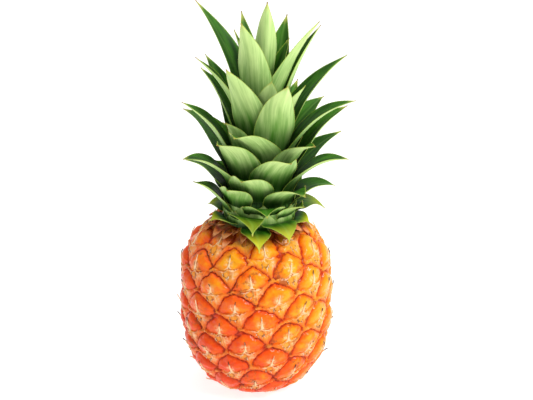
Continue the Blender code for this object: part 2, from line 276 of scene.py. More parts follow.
# Each node that the trees use: kind, settings, inputs in the order they are given, output in use
RECIPES = {
    **{name: ("ShaderNodeMath", {"operation": name.upper()}, (0, 1), 0)
       for name in ("add", "subtract", "multiply", "divide", "absolute")},
    "value": ("ShaderNodeAttribute", {}, (), "Fac"),
    "place": ("ShaderNodeTexCoord", {}, (), "Object"),
    "split": ("ShaderNodeSeparateXYZ", {}, (0,), "X"),
    "combine": ("ShaderNodeCombineXYZ", {}, (0, 1, 2), 0),
    "fade": ("ShaderNodeMapRange", {"interpolation_type": "SMOOTHSTEP"},
             ("Value", "From Min", "From Max", "To Min", "To Max"), "Result"),
    "mix": ("ShaderNodeMix", {"data_type": "RGBA"}, (0, 6, 7), 2),
    "ramp": ("ShaderNodeValToRGB", {}, ("Fac",), "Color"),
    "mapping": ("ShaderNodeMapping", {"vector_type": "POINT"}, ("Vector", "Scale"), 0),
    "noise": ("ShaderNodeTexNoise", {}, ("Vector", "Scale", "Detail", "Roughness"), "Fac"),
    "cells": ("ShaderNodeTexVoronoi", {}, ("Vector", "Scale"), "Distance"),
    "relief": ("ShaderNodeBump", {}, ("Height", "Distance", "Strength"), 0),
    "inputs": ("NodeGroupInput", {}, (), 0),
    "outputs": ("NodeGroupOutput", {}, (0,), None),
    "position": ("GeometryNodeInputPosition", {}, (), 0),
    "float": ("GeometryNodeInputNamedAttribute", {"data_type": "FLOAT"}, ("Name",), "Attribute"),
    "vector": ("GeometryNodeInputNamedAttribute", {"data_type": "FLOAT_VECTOR"}, ("Name",), "Attribute"),
    "plus": ("ShaderNodeVectorMath", {"operation": "ADD"}, (0, 1), 0),
    "times": ("ShaderNodeVectorMath", {"operation": "SCALE"}, (0, "Scale"), 0),
    "object": ("GeometryNodeObjectInfo", {}, ("Object",), "Geometry"),
    "kinds": ("GeometryNodeGeometryToInstance", {}, (), 0),
    "turn": ("FunctionNodeEulerToRotation", {}, (0,), 0),
    "align": ("FunctionNodeAlignRotationToVector", {"axis": "Z"}, ("Vector",), 0),
    "pick": ("FunctionNodeRandomValue", {"data_type": "INT"}, (4, 5, "Seed"), 2),
    "vary": ("FunctionNodeRandomValue", {"data_type": "FLOAT"}, (2, 3, "Seed"), 1),
    "copies": ("GeometryNodeInstanceOnPoints", {},
               ("Points", "Instance", "Rotation", "Scale", "Pick Instance", "Instance Index"), 0),
    "cast": ("GeometryNodeRaycast", {},
             ("Target Geometry", "Source Position", "Ray Direction", "Ray Length"), "Hit Position"),
    "move": ("GeometryNodeSetPosition", {}, ("Geometry", "Selection", "Position"), 0),
    "curve": ("GeometryNodeMeshToCurve", {}, ("Mesh",), 0),
    "spread": ("GeometryNodeResampleCurve", {"mode": "LENGTH"}, ("Curve", "Length"), 0),
    "cone": ("GeometryNodeMeshCone", {}, ("Vertices", "Radius Top", "Radius Bottom", "Depth"), "Mesh"),
    "real": ("GeometryNodeRealizeInstances", {}, (0,), 0),
    "smooth": ("GeometryNodeSetShadeSmooth", {}, ("Geometry",), 0),
    "dress": ("GeometryNodeSetMaterial", {}, ("Geometry", "Material"), 0),
}


def plain(value):
    """A hex code as its linear colour, anything else as it is."""
    return hex_colour(value) if isinstance(value, str) and value.startswith("#") else value


def feed(node, inputs):
    """Sets or links a node's inputs."""
    for key, value in inputs.items():
        if isinstance(value, bpy.types.NodeSocket):
            node.id_data.links.new(value, node.inputs[key])
        else:
            node.inputs[key].default_value = plain(value)


def add_node(tree, recipe, *inputs, stops=(), **settings):
    """One node of a recipe with its inputs and any further settings; gives the output in use."""
    kind, presets, keys, output = RECIPES[recipe]
    node = tree.nodes.new(kind)
    for name, value in {**presets, **settings}.items():
        setattr(node, name, value)
    feed(node, dict(zip(keys, inputs)))
    if stops:
        elements = node.color_ramp.elements
        while len(elements) < len(stops):
            elements.new(1.0)
        for element, (position, colour) in zip(elements, stops):
            element.position, element.color = position, plain(colour)
    return None if output is None else node.outputs[output]


def grain(put, place, size, detail=3.0, roughness=0.55, stretch=(1.0, 1.0, 1.0)):
    """Noise whose blobs are about size metres across, stretched by a factor along each axis."""
    scaled = put("mapping", place, tuple(1.0 / (size * s) for s in stretch))
    return put("noise", scaled, 1.0, detail, roughness)


def layered(put, base, *layers):
    """A base colour with further colours laid over it, each by its own share."""
    for share, colour in layers:
        base = put("mix", share, base, colour)
    return base


def product(put, first, *others):
    for other in others:
        first = put("multiply", first, other)
    return first


def new_material(name, *values):
    """A material, its shader, the way to add its nodes, and its coordinates and named mesh values."""
    material = bpy.data.materials.new(name)
    material.use_nodes = True
    put = partial(add_node, material.node_tree)
    at = SimpleNamespace(place=put("place"), **{key: put("value", attribute_name=key) for key in values})
    return material, material.node_tree.nodes["Principled BSDF"], put, at


def growth_tree(name, **inputs):
    """A geometry tree with named inputs, the way to add its nodes, and its inputs' sockets."""
    tree = bpy.data.node_groups.new(name, "GeometryNodeTree")
    for label, kind in (("Geometry", "Geometry"), *inputs.items()):
        tree.interface.new_socket(label, in_out="INPUT", socket_type=f"NodeSocket{kind}")
    tree.interface.new_socket("Geometry", in_out="OUTPUT", socket_type="NodeSocketGeometry")
    put = partial(add_node, tree)
    return tree, put, put("inputs").node.outputs


def scattered(put, given, shapes):
    """One of the shapes, picked by the seed, turned and stretched at every point."""
    kinds = put("kinds")
    for shape in shapes:
        kinds.node.id_data.links.new(put("object", shape), kinds.node.inputs[0])
    which = put("pick", 0, len(shapes) - 1, given["Seed"])
    turn = put("turn", put("vector", "facing"))
    return put("real", put("copies", given["Geometry"], kinds, turn, put("vector", "stretch"), True, which))


def grow(thing, tree, inputs, shapes=()):
    """Runs a geometry tree on the object, keeps its result as a plain mesh and drops the loose shapes."""
    sockets = {item.name: item.identifier for item in tree.interface.items_tree if item.in_out == "INPUT"}
    modifier = thing.modifiers.new("Growth", "NODES")
    modifier.node_group = tree
    for name, value in inputs.items():
        modifier[sockets[name]] = value
    graph = bpy.context.evaluated_depsgraph_get()
    mesh = bpy.data.meshes.new_from_object(thing.evaluated_get(graph))
    thing.modifiers.remove(modifier)
    thing.data = mesh
    for shape in shapes:
        bpy.data.objects.remove(shape, do_unlink=True)
    return thing


# ----------------------------------------------------------------------- rind

def fruit_radius(z):
    below = np.clip((BELLY_LOW - z) / BASE_ROUNDING, 0.0, None)
    above = np.clip((z - BELLY_HIGH) / TOP_ROUNDING, 0.0, None)
    return FRUIT_RADIUS * (1.0 - (below + above) ** ROUNDING_POWER) ** (1.0 / ROUNDING_POWER)


class Outline:
    """The fruit's profile from base to neck: height, radius, length and skin area along it."""

    def __init__(self, steps=3000):
        self.z = np.linspace(0.0, FRUIT_TOP, steps + 1)
        self.r = fruit_radius(self.z)
        run = np.hypot(np.diff(self.z), np.diff(self.r))
        self.run = np.concatenate(([0.0], np.cumsum(run)))
        self.area = np.concatenate(([0.0], np.cumsum(math.pi * (self.r[1:] + self.r[:-1]) * run)))

    def at(self, run):
        """Radius, height and the outward normal's radial and upward shares at a run."""
        r, z = np.interp(run, self.run, self.r), np.interp(run, self.run, self.z)
        step = 1.5 * MM
        dr = np.interp(run + step, self.run, self.r) - np.interp(run - step, self.run, self.r)
        dz = np.interp(run + step, self.run, self.z) - np.interp(run - step, self.run, self.z)
        size = np.hypot(dr, dz)
        return r, z, dz / size, -dr / size

    def run_of_area(self, area):
        """The run that has this much skin below it; it goes on past both ends."""
        run = np.interp(area, self.area, self.run)
        run = run + np.minimum(area, 0.0) / (FULL_TURN * self.r[0])
        return run + np.maximum(area - self.area[-1], 0.0) / (FULL_TURN * self.r[-1])


OUTLINE = Outline()

# An eye's own shape in millimetres round its junction: corners of its share of the skin,
# the dome above the lip line and the bract below it
CELL_LEFT, CELL_RIGHT = (-17.0, -3.8), (17.0, 3.8)
CELL_TOP, CELL_BOTTOM = (-4.0, 16.0), (4.0, -16.0)
CORNER_ROUNDING = 5.5
DOME_BULGE, BRACT_BULGE, WING_BULGE = 3.2, 0.5, 1.9
LIP_DIP, LIP_POINT, LIP_REACH, LIP_SLANT = 2.7, 2.2, 17.0, 0.22
SCAR_AT, SCAR_SIZE = (-1.2, -5.4), (3.0, 2.5)
SCAR_FAR = 3.0  # scar value off the bracts
FLAKE_BELOW, FLAKE_BELOW_SIZE = (5.5, -5.5), (3.4, 3.6)
FLAKE_ABOVE, FLAKE_ABOVE_SIZE = (-0.5, 2.5), (4.2, 3.4)

# Relief: widths in millimetres, the pit's depth in metres, the rest as shares
SHOULDER_WIDTH, SHOULDER_POWER, SHOULDER_ROUNDING = 6.5, 2.6, 0.55
UNDER_LIP_WIDTH, UNDER_LIP_DROP = 6.0, 0.42
BRACT_FOOT, BRACT_REACH = 0.42, 14.0
EDGE_WIDTH, SEAM_DROP = 0.8, 0.3
LIP_WIDTH, LIP_ARMS, LIP_ENDS = 1.1, 9.5, 0.35
PIT_DEPTH, PIT_RING, PIT_WIDTH = 0.45 * MM, 0.95, 0.28

# Painted marks, with painted shade beside the grooves and under the lips: widths in millimetres, faintness as
# a share
BLUSH_AND_SHADE_WIDTH, BLUSH_AND_SHADE_POWER, SEAM_FAINT = 2.2, 1.5, 0.35
CREAM_WIDTH, CREAM_ARMS, CREAM_ENDS, SHADE_WIDTH = 1.0, 8.0, 0.15, 0.8

# The rind's own unevenness: wave height and length in millimetres, and seed
WANDER, JITTER = (0.55, 9.0, (3, 4)), (0.35, 3.5, (5, 6))
FINE_WAVES, BROAD_WAVES = (0.12, 2.2, 8), (0.2, 6.0, 9)


def lip_line(x):
    """Height of the bract's upper edge: it rises to a point at the spine."""
    dip = (1.0 - np.exp(-np.abs(x) / LIP_POINT)) * np.clip(1.0 - np.abs(x) / LIP_REACH, 0.0, 1.0)
    return LIP_SLANT * x - LIP_DIP * dip


def edge_distance(x, y, start, end):
    """Distance to the left of a line from start to end."""
    dx, dy = end[0] - start[0], end[1] - start[1]
    size = math.hypot(dx, dy)
    return (dx * (y - start[1]) - dy * (x - start[0])) / size


def between_lines(x, y, *corners):
    """Distances to the left of each line from one corner to the next."""
    return [edge_distance(x, y, start, end) for start, end in zip(corners, corners[1:])]


def hill(x, y, middle, size):
    """A soft hill of height 1 over a middle, with its half width and half height."""
    return np.exp(-((x - middle[0]) / size[0]) ** 2 - ((y - middle[1]) / size[1]) ** 2)


def rounded_least(*distances):
    """The least of several distances, with rounded corners."""
    return -CORNER_ROUNDING * np.log(sum(np.exp(-d / CORNER_ROUNDING) for d in distances))


class Eyes:
    """All the eyes of the fruit, with the ones just past both ends."""

    def __init__(self):
        number = np.arange(-6, EYES + 6)
        draw = np.random.default_rng(11)
        self.run = OUTLINE.run_of_area(FIRST_EYE_AREA + number * EYE_AREA)
        self.turn = FIRST_EYE_TURN - GOLDEN_TURN * number
        self.r = np.interp(self.run, OUTLINE.run, OUTLINE.r)
        self.squeeze = np.sqrt(self.r / FRUIT_RADIUS)
        count = len(number)
        self.tint = draw.uniform(0.0, 1.0, count)
        self.swell = draw.uniform(0.85, 1.12, count)
        self.lean = draw.normal(0.0, 0.09, count)
        self.bulge = draw.normal(0.0, 0.35, count)
        self.blush = draw.uniform(0.0, 1.0, count)

    def local(self, turn, run, r):
        """Millimetres from every eye (rows) to every point (columns), across and up."""
        across = turn[None, :] - self.turn[:, None]
        across = (across + math.pi) % FULL_TURN - math.pi
        x = across * 0.5 * (r + self.r)[:, None] / MM / self.squeeze[:, None]
        y = (run - self.run)[:, None] / MM * self.squeeze[:, None]
        return x, y


def largest_but(values, skip):
    """The largest value of each column once the named row is left out."""
    rest = values.copy()
    rest[skip, np.arange(values.shape[1])] = -1e3
    return rest.max(axis=0)


def rind_row(eyes, turn, run):
    """Which eye and which half of it each point of a ring lies in, and how far from its edges."""
    r = float(np.interp(run, OUTLINE.run, OUTLINE.r))
    place = wave_places(r, turn, run)
    x, y = eyes.local(turn, run, r)
    for height, size, seeds in (WANDER, JITTER):
        x = x + height * ripple(place, size, seeds[0])
        y = y + height * ripple(place, size, seeds[1])
    y = y + eyes.lean[:, None] * x
    line = lip_line(x)
    sides = between_lines(x, y, CELL_RIGHT, CELL_TOP, CELL_LEFT)
    dome = rounded_least(*sides, (y - line) * 1.1) + DOME_BULGE + eyes.bulge[:, None]
    bract = np.minimum(*between_lines(x, y, CELL_LEFT, CELL_BOTTOM, CELL_RIGHT))
    bract = bract + BRACT_BULGE + WING_BULGE * ease(8.0, 16.0, np.abs(x))
    bract = np.minimum(bract, line - y + BRACT_BULGE)
    is_bract = bract.max(axis=0) > dome.max(axis=0)
    own = np.where(is_bract, bract.argmax(axis=0), dome.argmax(axis=0))
    pick = (own, np.arange(len(turn)))
    best = np.maximum(bract.max(axis=0), dome.max(axis=0))
    to_own = (best - np.where(is_bract, dome[pick], bract[pick])) / 2.0
    next_dome, next_bract = largest_but(dome, own), largest_but(bract, own)
    to_others = (best - np.maximum(next_dome, next_bract)) / 2.0
    return SimpleNamespace(x=x[pick], y=y[pick], own=own, is_bract=is_bract, to_own=to_own,
                           to_others=to_others, seam=is_bract & (next_bract > next_dome))


def rind_relief(at, eyes, settings):
    """Height above the fruit's outline, in metres; a seam is where two bracts meet."""
    shoulder = np.clip(1.0 - at.to_others / SHOULDER_WIDTH, 0.0, 1.0)
    round_off = (1.0 - shoulder ** SHOULDER_POWER) ** SHOULDER_ROUNDING
    under_lip = np.clip(1.0 - at.to_own / UNDER_LIP_WIDTH, 0.0, 1.0)
    dome = settings.dome_height * eyes.swell[at.own] * round_off * (1.0 - UNDER_LIP_DROP * under_lip ** 2)
    slope = mix(1.0, BRACT_FOOT, ease(0.0, BRACT_REACH, lip_line(at.x) - at.y))
    drop = np.where(at.seam, SEAM_DROP, 1.0)
    edge = 1.0 - drop * np.exp(-np.clip(at.to_others, 0.0, None) / EDGE_WIDTH)
    arms = np.exp(-((at.x / LIP_ARMS) ** 4))
    lip = settings.lip_height * np.exp(-(at.to_own / LIP_WIDTH) ** 2) * mix(LIP_ENDS, 1.0, arms)
    pit = PIT_DEPTH * np.exp(-((scar_radius(at.x, at.y) - PIT_RING) / PIT_WIDTH) ** 2)
    bract = (settings.bract_height * slope + lip - pit) * edge
    return np.where(at.is_bract, bract, dome) - settings.groove_depth


def rind_values(at, eyes, groove_width):
    """What the rind's material reads at the points of one ring."""
    faint = np.where(at.seam, SEAM_FAINT, 1.0)
    from_edge = np.clip(at.to_others, 0.0, None)
    arms = np.exp(-((at.x / CREAM_ARMS) ** 4))
    is_dome = 1 - at.is_bract
    return {
        "groove": faint * np.exp(-(from_edge / groove_width) ** 2),
        # redder towards the grooves: partly the skin's own colour, partly painted shade
        "edge": faint * np.exp(-(from_edge / BLUSH_AND_SHADE_WIDTH) ** BLUSH_AND_SHADE_POWER),
        "bract": at.is_bract * 1.0,
        "lip": at.is_bract * np.exp(-(at.to_own / CREAM_WIDTH) ** 2) * mix(CREAM_ENDS, 1.0, arms),
        # painted shade on the dome just under the bract's lip
        "under_lip": is_dome * np.exp(-(at.to_own / SHADE_WIDTH) ** 2) * arms,
        "scar": np.where(at.is_bract, scar_radius(at.x, at.y), SCAR_FAR),
        "eye_x": at.x, "eye_y": at.y,
        "pale": hill(at.x, at.y, FLAKE_BELOW, FLAKE_BELOW_SIZE) * at.is_bract
        + hill(at.x, at.y, FLAKE_ABOVE, FLAKE_ABOVE_SIZE) * is_dome * 0.9,
        "tint": eyes.tint[at.own], "blush": eyes.blush[at.own],
    }


def scar_radius(x, y):
    return np.hypot((x - SCAR_AT[0]) / SCAR_SIZE[0], (y - SCAR_AT[1]) / SCAR_SIZE[1])


def build_rind(settings):
    """The whole rind as one closed surface, with the recess of the stalk in its base."""
    eyes, turn = Eyes(), turns(settings.sides)
    rings, values = [], []
    for run in np.linspace(0.0, OUTLINE.run[-1], settings.rows):
        at = rind_row(eyes, turn, run)
        r, z, out, up = OUTLINE.at(run)
        place = wave_places(r, turn, z)
        waves = sum(height * ripple(place, size, seed) for height, size, seed in (FINE_WAVES, BROAD_WAVES))
        relief = rind_relief(at, eyes, settings) * ease(0.0, 12.0 * MM, z)
        relief = relief + waves * MM * ease(0.0, 6.0 * MM, z)
        rings.append(ring_points(r + relief * out, turn, np.maximum(z + relief * up, 0.0)))
        values.append(rind_values(at, eyes, settings.groove_width / MM))
    # Mouth and roof of the stalk's recess, then the middle of its roof and the very top
    recess = STALK_RADIUS + GAP
    extra = [ring_points(recess, turn, 0.0), ring_points(recess, turn, STALK_DEPTH + GAP),
             np.array([(0.0, 0.0, STALK_DEPTH + GAP), (0.0, 0.0, FRUIT_TOP)])]
    rows, sides = settings.rows, settings.sides
    size = rows * sides
    mouth, roof, middle, top = size, size + sides, size + 2 * sides, size + 2 * sides + 1
    faces = [grid_faces(rows, sides, closed=True)]
    here, there = np.arange(sides), (np.arange(sides) + 1) % sides
    for low, high in ((mouth, 0), (roof, mouth)):
        faces.append(np.stack([low + here, low + there, high + there, high + here], axis=1))
    caps = [np.stack([ring + a, ring + b, np.full(sides, tip)], axis=1)
            for ring, a, b, tip in ((roof, there, here, middle), (size - sides, here, there, top))]
    count = 2 * sides + 2
    values.append({key: np.full(count, SCAR_FAR if key == "scar" else 0.0) for key in values[0]})
    return mesh_object("rind", np.concatenate(rings + extra), [*np.concatenate(faces), *np.concatenate(caps)],
                       joined(values))


def rind_material(settings):
    """Ripe rind: a thin waxy cuticle over swollen fruitlets, so satin with small soft highlights.

    The bracts are drier and finely striped, their lips are dead and cream, and tannin
    darkens the ring of each scar. Tannin and painted shade darken the grooves and the skin
    beside them, the shade most on the left, away from the key light.
    """
    material, shader, put, at = new_material(
        "waxy_pineapple_rind", "tint", "blush", "bract", "edge", "groove", "lip", "under_lip",
        "scar", "pale", "eye_x", "eye_y")
    spot = put("split", at.place).node.outputs
    # Redder low down, partly riper skin and partly painted shade; yellower on the right and redder on the
    # left, as painted light and shade from the key light on the right
    lean = put("multiply", spot["X"], 5.8)
    climb = put("multiply", put("subtract", spot["Z"], 0.075), 5.2)
    ripeness_and_light = put("add", put("add", lean, climb), 0.53)
    tint = put("multiply", put("subtract", at.tint, 0.5), 0.22)
    cloud = put("multiply", put("subtract", grain(put, at.place, 7 * MM), 0.5), 1.1)
    flesh = put("ramp", put("add", put("add", ripeness_and_light, tint), cloud),
                stops=((0.10, settings.red), (0.48, settings.orange), (0.85, settings.yellow)))
    # Bracts: yellower, with fine stripes that fan out from the lower corner, 0.8 mm apart
    over = put("add", at.eye_y, 22.0)
    fan = put("divide", put("subtract", at.eye_x, 4.0), over)
    stripes_at = put("combine", put("multiply", fan, 26.0), put("multiply", over, 0.10),
                     put("multiply", at.tint, 40.0))
    stripes = put("noise", stripes_at, 1.0, 3.0)
    dry = layered(put, flesh, (put("fade", stripes, 0.35, 0.68, 0.12, 0.75), "#ffb63c"),
                  (put("fade", stripes, 0.54, 0.70, 0.0, 0.6), "#ffd890"))
    # Papery pale patches beside the spine and the scar
    flake = put("fade", grain(put, at.place, 2.2 * MM, 4.0, 0.7), 0.38, 0.62)
    pale = product(put, put("fade", at.pale, 0.15, 0.85), flake, 0.85)
    # Redder, then dark, towards the grooves: partly the seams' own colour, partly painted shade; the dark
    # line is darkest on some eyes and on the left, away from the key light
    dead = put("subtract", at.blush, put("multiply", lean, 1.2))
    line = put("mix", put("fade", dead, 0.6, 1.0, 0.0, 0.8), settings.groove, "#2a0c04")
    seam_and_shade = product(put, put("fade", at.groove, 0.15, 0.9),
                   put("fade", grain(put, at.place, 5 * MM), 0.35, 0.7, 0.65, 1.0))
    # Old bruises on some eyes
    bruise = product(put, put("fade", grain(put, at.place, 6 * MM, 4.0, 0.6), 0.50, 0.66),
                     put("fade", at.blush, 0.45, 0.95, 0.1, 0.8))
    # The scar: orange middle, brown ring, darkest at its foot
    ring = product(put, put("fade", at.scar, 0.55, 0.85), put("fade", at.scar, 1.25, 1.0),
                   put("fade", grain(put, at.place, 3 * MM), 0.38, 0.6, 0.15, 0.7),
                   put("fade", at.eye_y, -3.0, -8.0, 0.45, 1.0))
    lip = put("multiply", put("fade", at.lip, 0.2, 0.8), 0.7)
    base = layered(put, flesh, (at.bract, dry), (pale, "#ffd8a0"),
                   # redder skin beside the grooves and the dark seam line: partly their own colour, partly
                   # painted shade
                   (put("multiply", at.edge, 0.8), settings.red), (seam_and_shade, line), (bruise, "#a8501e"),
                   (put("fade", at.scar, 0.9, 0.6, 0.0, 0.7), "#f09a2a"), (ring, settings.brown),
                   # painted shade: darker red on each dome under the lip
                   (lip, settings.cream), (put("fade", at.under_lip, 0.2, 0.9, 0.0, 0.5), "#a83208"),
                   # Painted shade in the hollow round the crown: the rind darkens above 130 mm
                   (put("fade", spot["Z"], 130 * MM, 135 * MM, 0.0, 0.75), "#5a1c08"))
    dull = put("add", put("multiply", at.bract, 0.18), 0.30, use_clamp=True)
    dull = put("add", dull, put("multiply", at.groove, 0.3), use_clamp=True)
    height = put("add", grain(put, at.place, 1.4 * MM, 4.0, 0.6), product(put, stripes, at.bract, 1.6))
    feed(shader, {"Base Color": base, "Roughness": dull, "IOR": 1.45, "Specular IOR Level": 0.12,
                  "Coat Weight": 0.3, "Coat Roughness": 0.14,
                  "Normal": put("relief", height, 0.5 * MM, 0.55)})
    return material


# --------------------------------------------------------------------- spines

# A bract's tip, in millimetres: cross-section as (across, rise), then the shreds round the scar
RIBBON_SECTION = ((-1.0, -0.4), (-0.75, 0.45), (0.0, 1.0), (0.75, 0.45), (1.0, -0.4))
SPINE, ARM, SHRED = 0.0, 1.0, 2.0
SPINE_KINDS, RIBBON_STEPS, SHREDS, SHRED_STEPS = 6, 9, 5, 3
LOWEST_SPINE, HIGHEST_SPINE = 7.0 * MM, 6.0 * MM  # nearest that a spine comes to either end of the rind
DROP_HEIGHT, OVER_FLOOR = 12.0 * MM, 0.1 * MM


def ribbon(bm, path, layers, kind):
    """A tapered closed strip along (x, y, half width, lift, thickness) points, in millimetres."""
    lift_layer, along_layer, kind_layer = layers
    rings = []
    for k, (x, y, half, lift, thick) in enumerate(path):
        before, after = path[max(k - 1, 0)], path[min(k + 1, len(path) - 1)]
        way = Vector((after[0] - before[0], after[1] - before[1], 0.0)).normalized()
        side = Vector((way.y, -way.x, 0.0))
        ring = []
        for across, rise in RIBBON_SECTION:
            vertex = bm.verts.new((Vector((x, y, 0.0)) + side * across * half) * MM)
            vertex[lift_layer] = (lift + rise * thick) * MM
            vertex[along_layer] = k / (len(path) - 1)
            vertex[kind_layer] = kind
            ring.append(vertex)
        rings.append(ring)
    for low, high in zip(rings, rings[1:]):
        for c in range(len(low)):
            d = (c + 1) % len(low)
            bm.faces.new((low[c], high[c], high[d], low[d]))
    bm.faces.new(rings[0])
    bm.faces.new(rings[-1][::-1])


def spine_shape(name, draw):
    """A bract's tip: the spine that lies up the dome, the two lips from its foot, and shreds."""
    bm = bmesh.new()
    layers = [bm.verts.layers.float.new(key) for key in ("lift", "along", "kind")]
    shares = [k / RIBBON_STEPS for k in range(RIBBON_STEPS + 1)]
    lean, reach = draw.uniform(-0.25, 0.2), draw.uniform(7.5, 11.0)
    hook, wave = draw.uniform(0.6, 3.0), draw.uniform(-0.5, 0.5)
    path = []
    for t in shares:
        half = mix(1.3, 0.5, ease(0.0, 0.4, t)) * (1.0 - 0.5 * ease(0.6, 1.0, t))
        x = lean * reach * t + wave * math.sin(math.pi * t)
        path.append((x, -0.9 + reach * t, half, 0.25 + hook * t ** 3, 0.55))
    ribbon(bm, path, layers, SPINE)
    for side, arm in ((-1.0, draw.uniform(5.5, 9.0)), (1.0, draw.uniform(5.0, 8.5))):
        path = []
        for t in shares:
            x = side * (0.2 + arm * t)
            y = float(lip_line(np.array(x))) - 0.25
            path.append((x, y, mix(0.7, 0.14, t ** 0.8), 0.1, 0.5 * (1.0 - 0.5 * t)))
        ribbon(bm, path, layers, ARM)
    for _ in range(SHREDS):
        angle = draw.uniform(-0.25, 1.25) * math.pi
        x0 = SCAR_AT[0] + 3.0 * math.cos(angle)
        y0 = SCAR_AT[1] - 2.6 * abs(math.sin(angle))
        size, turn = draw.uniform(1.2, 2.6), draw.uniform(-0.6, 0.6) - math.pi / 2.0
        path = []
        for t in (k / SHRED_STEPS for k in range(SHRED_STEPS + 1)):
            path.append((x0 + size * t * math.cos(turn), y0 + size * t * math.sin(turn),
                         0.45 * (1.0 - 0.7 * t), 0.15 + 0.5 * t * t, 0.15))
        ribbon(bm, path, layers, SHRED)
    mesh = bpy.data.meshes.new(name)
    bmesh.ops.recalc_face_normals(bm, faces=bm.faces)
    bm.to_mesh(mesh)
    bm.free()
    return placed(name, mesh)


def facing_of(right, rise, normal, spin=0.0):
    """The Euler angles of a frame, turned about its normal."""
    return (Matrix((right, rise, normal)).transposed() @ Euler((0.0, 0.0, spin)).to_matrix()).to_euler()


def eye_points(name):
    """One point for each eye's junction, with the frame that a spine is laid in."""
    eyes = Eyes()
    inside = (eyes.run > LOWEST_SPINE) & (eyes.run < OUTLINE.run[-1] - HIGHEST_SPINE)
    points, facing, outward, stretch = [], [], [], []
    for turn, run, squeeze in zip(eyes.turn[inside], eyes.run[inside], eyes.squeeze[inside]):
        r, z, out, up = OUTLINE.at(run)
        right = Vector((math.cos(turn), math.sin(turn), 0.0))
        normal = Vector((out * math.sin(turn), -out * math.cos(turn), up))
        points.append((r * math.sin(turn), -r * math.cos(turn), z))
        facing.append(facing_of(right, normal.cross(right), normal))
        outward.append(normal)
        stretch.append((squeeze, 1.0 / squeeze, 1.0))
    return mesh_object(name, points, vectors={"facing": facing, "outward": outward, "stretch": stretch})


def spine_tree(material, shapes, skin):
    """Sets a spine on every eye, then drops each of its points onto the rind below it."""
    tree, put, given = growth_tree("Spines on eyes", Reach="Float", Seed="Int")
    spines = scattered(put, given, shapes)
    outward = put("vector", "outward")
    above = put("plus", put("position"), put("times", outward, given["Reach"]))
    hit = put("cast", put("object", skin), above, put("times", outward, -1.0), 2.0 * FRUIT_RADIUS)
    landed = put("plus", hit, put("times", outward, put("float", "lift")))
    spines = put("smooth", put("move", spines, hit.node.outputs["Is Hit"], landed))
    put("outputs", put("dress", spines, material))
    return tree


def spine_material(settings):
    """Dead bract tissue: dry, matt and cream, browned at the ends and in the torn shreds."""
    material, shader, put, at = new_material("dry_bract", "along", "kind")
    pale = put("mix", put("fade", grain(put, at.place, 3 * MM), 0.35, 0.7), settings.cream, "#f6c88c")
    arm = put("mix", put("fade", at.along, 0.05, 0.5), pale, "#ffac3c")
    spot = product(put, put("fade", at.along, 0.6, 0.85), put("fade", at.kind, 0.5, 0.2),
                   put("fade", grain(put, at.place, 14 * MM, 1.0), 0.38, 0.52))
    torn = put("mix", put("fade", grain(put, at.place, 2 * MM), 0.4, 0.6), "#f4d6b0", "#9a5a2c")
    base = layered(put, pale, (put("fade", at.kind, 0.4, 0.6), arm), (spot, "#54301a"),
                   (put("fade", at.kind, 1.4, 1.6), torn))
    feed(shader, {"Base Color": base, "Roughness": 0.6,
                  "Normal": put("relief", grain(put, at.place, 0.8 * MM, 4.0), 0.25 * MM, 0.5)})
    return material


def build_spines(rind, settings):
    draw = np.random.default_rng(5)
    shapes = [spine_shape(f"spine_kind_{k}", draw) for k in range(SPINE_KINDS)]
    tree = spine_tree(spine_material(settings), shapes, rind)
    spines = grow(eye_points("bract_spines"), tree, {"Reach": DROP_HEIGHT, "Seed": 3}, shapes)
    for vertex in spines.data.vertices:
        vertex.co.z = max(vertex.co.z, OVER_FLOOR)
    return spines


# ------------------------------------------------------------ stalk and stem

STALK_RINGS, STALK_SIDES, STALK_RIDGES = 22, 96, 24
DISH_DEPTH, DISH_ROUGHNESS, RIDGE_DEPTH = 0.5 * MM, 0.18 * MM, 0.12 * MM


def build_stalk(name="cut_stalk"):
    """The cut end of the stalk: a ragged disc of fibre bundles, a little dished."""
    turn = turns(STALK_SIDES)
    rows = []
    for share in (k / STALK_RINGS for k in range(STALK_RINGS + 1)):
        r = STALK_RADIUS * max(share, 0.001)
        place = wave_places(r, turn, 0.0)
        dish = DISH_DEPTH * (1.0 - share ** 2) + DISH_ROUGHNESS * (1.0 + ripple(place, 1.6, 21))
        dish = np.maximum(dish * (1.0 - 0.9 * ease(0.93, 1.0, share)), 0.0)
        rows.append(ring_points(r, turn, dish))
    ridged = STALK_RADIUS - RIDGE_DEPTH * (1.0 + np.cos(turn * STALK_RIDGES))
    rows.extend(ring_points(ridged, turn, z) for z in (0.6 * MM, 3.0 * MM, 6.0 * MM, STALK_DEPTH))
    rows.extend(ring_points(STALK_RADIUS * share, turn, STALK_DEPTH) for share in (0.5, 0.001))
    stalk = mesh_object(name, np.concatenate(rows), grid_faces(len(rows), STALK_SIDES, closed=True))
    bm = bmesh.new()
    bm.from_mesh(stalk.data)
    bmesh.ops.remove_doubles(bm, verts=bm.verts, dist=0.02 * MM)
    bmesh.ops.recalc_face_normals(bm, faces=bm.faces)
    bm.to_mesh(stalk.data)
    bm.free()
    return stalk


def stalk_material():
    """Cut fibrous stalk: dry pith with darker ends of fibre bundles, about 1 mm apart."""
    material, shader, put, at = new_material("cut_stalk_fibre")
    cells = put("cells", at.place, 1.0 / (1.1 * MM))
    pith = put("mix", put("fade", grain(put, at.place, 4 * MM), 0.35, 0.65), "#d8b98a", "#a97a48")
    bundle = put("subtract", 1.0, put("fade", cells, 0.18, 0.42))
    feed(shader, {"Base Color": put("mix", bundle, pith, "#6e4422"), "Roughness": 0.85,
                  "Normal": put("relief", cells, 0.4 * MM, 0.8)})
    return material


